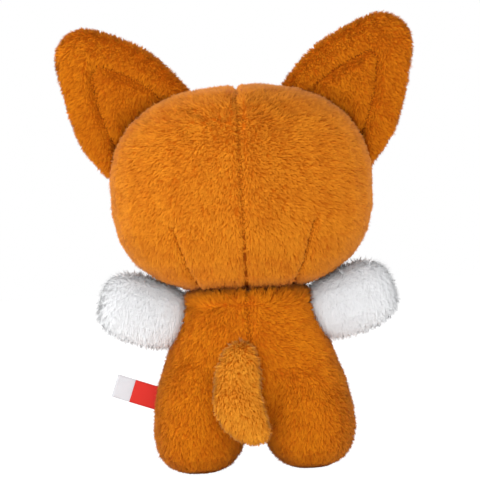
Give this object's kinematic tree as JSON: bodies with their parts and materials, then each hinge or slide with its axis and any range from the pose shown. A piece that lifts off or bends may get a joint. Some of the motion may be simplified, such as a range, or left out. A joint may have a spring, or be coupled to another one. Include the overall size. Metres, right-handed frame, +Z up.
{
  "type": "plush corgi",
  "caption": "Stuffed corgi toy standing on its feet, with sewn plush panels, folding ears, swinging arms, a turning head and a lifting tail.",
  "frame": {"origin": "on the ground, under the middle of the toy's box", "axes": "+Z up, the toy looks along -Y, its left side at +X"},
  "size_m": [0.2338, 0.1372, 0.2937],
  "materials": {
    "brown_plush": "short pile plush",
    "tail_plush": "short pile plush, lighter",
    "white_plush": "long pile plush",
    "ear_lining_plush": "short pile plush",
    "polyester_fibre": "loose fibre fill",
    "eye_plastic": "polished",
    "nose_plastic": "satin",
    "washer_plastic": "moulded",
    "mouth_thread": "embroidery thread",
    "red_ribbon": "satin ribbon",
    "white_ribbon": "satin ribbon"
  },
  "bodies": {
    "torso": {"body_back_left": "brown_plush", "body_back_right": "brown_plush", "body_front_left": "brown_plush", "body_front_right": "brown_plush", "belly": "white_plush", "torso_stuffing": "polyester_fibre", "leg_stuffing_left": "polyester_fibre", "leg_stuffing_right": "polyester_fibre"},
    "neck": {"neck_wad": "polyester_fibre"},
    "head": {"head_back_left": "brown_plush", "head_back_right": "brown_plush", "face_left": "brown_plush", "face_right": "brown_plush", "blaze": "white_plush", "head_stuffing": "polyester_fibre", "mouth_stitch": "mouth_thread", "eye_left": "eye_plastic", "eye_right": "eye_plastic", "eye_washer_left": "washer_plastic", "eye_washer_right": "washer_plastic", "nose": "nose_plastic", "nose_washer": "washer_plastic"},
    "ear_left": {"ear_back_left": "brown_plush", "ear_front_left": "brown_plush", "ear_lining_left": "ear_lining_plush", "ear_wadding_left": "polyester_fibre"},
    "ear_right": {"ear_back_right": "brown_plush", "ear_front_right": "brown_plush", "ear_lining_right": "ear_lining_plush", "ear_wadding_right": "polyester_fibre"},
    "arm_left": {"arm_back_left": "white_plush", "arm_front_left": "white_plush", "arm_stuffing_left": "polyester_fibre"},
    "arm_right": {"arm_back_right": "white_plush", "arm_front_right": "white_plush", "arm_stuffing_right": "polyester_fibre"},
    "tail": {"tail_outer": "tail_plush", "tail_inner": "tail_plush", "tail_stuffing": "polyester_fibre"},
    "label": {"label_front": "red_ribbon", "label_back": "white_ribbon"}
  },
  "joints": [
    {"name": "neck_turn", "type": "hinge", "parent": "torso", "child": "neck", "pos_m": [0, 0.00899, 0.1168], "axis": [0, 0, 1], "range_deg": [-25, 25], "stiffness_Nm_per_rad": 0.3},
    {"name": "head_nod", "type": "hinge", "parent": "neck", "child": "head", "pos_m": [0, 0.00899, 0.1168], "axis": [1, 0, 0], "range_deg": [-7, 7], "stiffness_Nm_per_rad": 1.5},
    {"name": "ear_left_fold", "type": "hinge", "parent": "head", "child": "ear_left", "pos_m": [0.06939, 0.00299, 0.23447], "axis": [0.706, 0, -0.7082], "range_deg": [-25, 35], "stiffness_Nm_per_rad": 0.06},
    {"name": "ear_right_fold", "type": "hinge", "parent": "head", "child": "ear_right", "pos_m": [-0.06939, 0.00299, 0.23447], "axis": [0.706, 0, 0.7082], "range_deg": [-25, 35], "stiffness_Nm_per_rad": 0.06},
    {"name": "arm_left_swing", "type": "hinge", "parent": "torso", "child": "arm_left", "pos_m": [0.05653, 0.00899, 0.10361], "axis": [0, 1, 0], "range_deg": [-4, 32], "stiffness_Nm_per_rad": 0.2},
    {"name": "arm_right_swing", "type": "hinge", "parent": "torso", "child": "arm_right", "pos_m": [-0.05653, 0.00899, 0.10361], "axis": [0, -1, 0], "range_deg": [-4, 32], "stiffness_Nm_per_rad": 0.2},
    {"name": "tail_lift", "type": "hinge", "parent": "torso", "child": "tail", "pos_m": [0.006, 0.0462, 0.0845], "axis": [1, 0, 0], "range_deg": [0, 70], "stiffness_Nm_per_rad": 0.05},
    {"name": "label_flap", "type": "hinge", "parent": "torso", "child": "label", "pos_m": [0.06255, 0.00899, 0.05015], "axis": [-0.342, 0, 0.9397], "range_deg": [-60, 60], "stiffness_Nm_per_rad": 0.002}
  ]
}
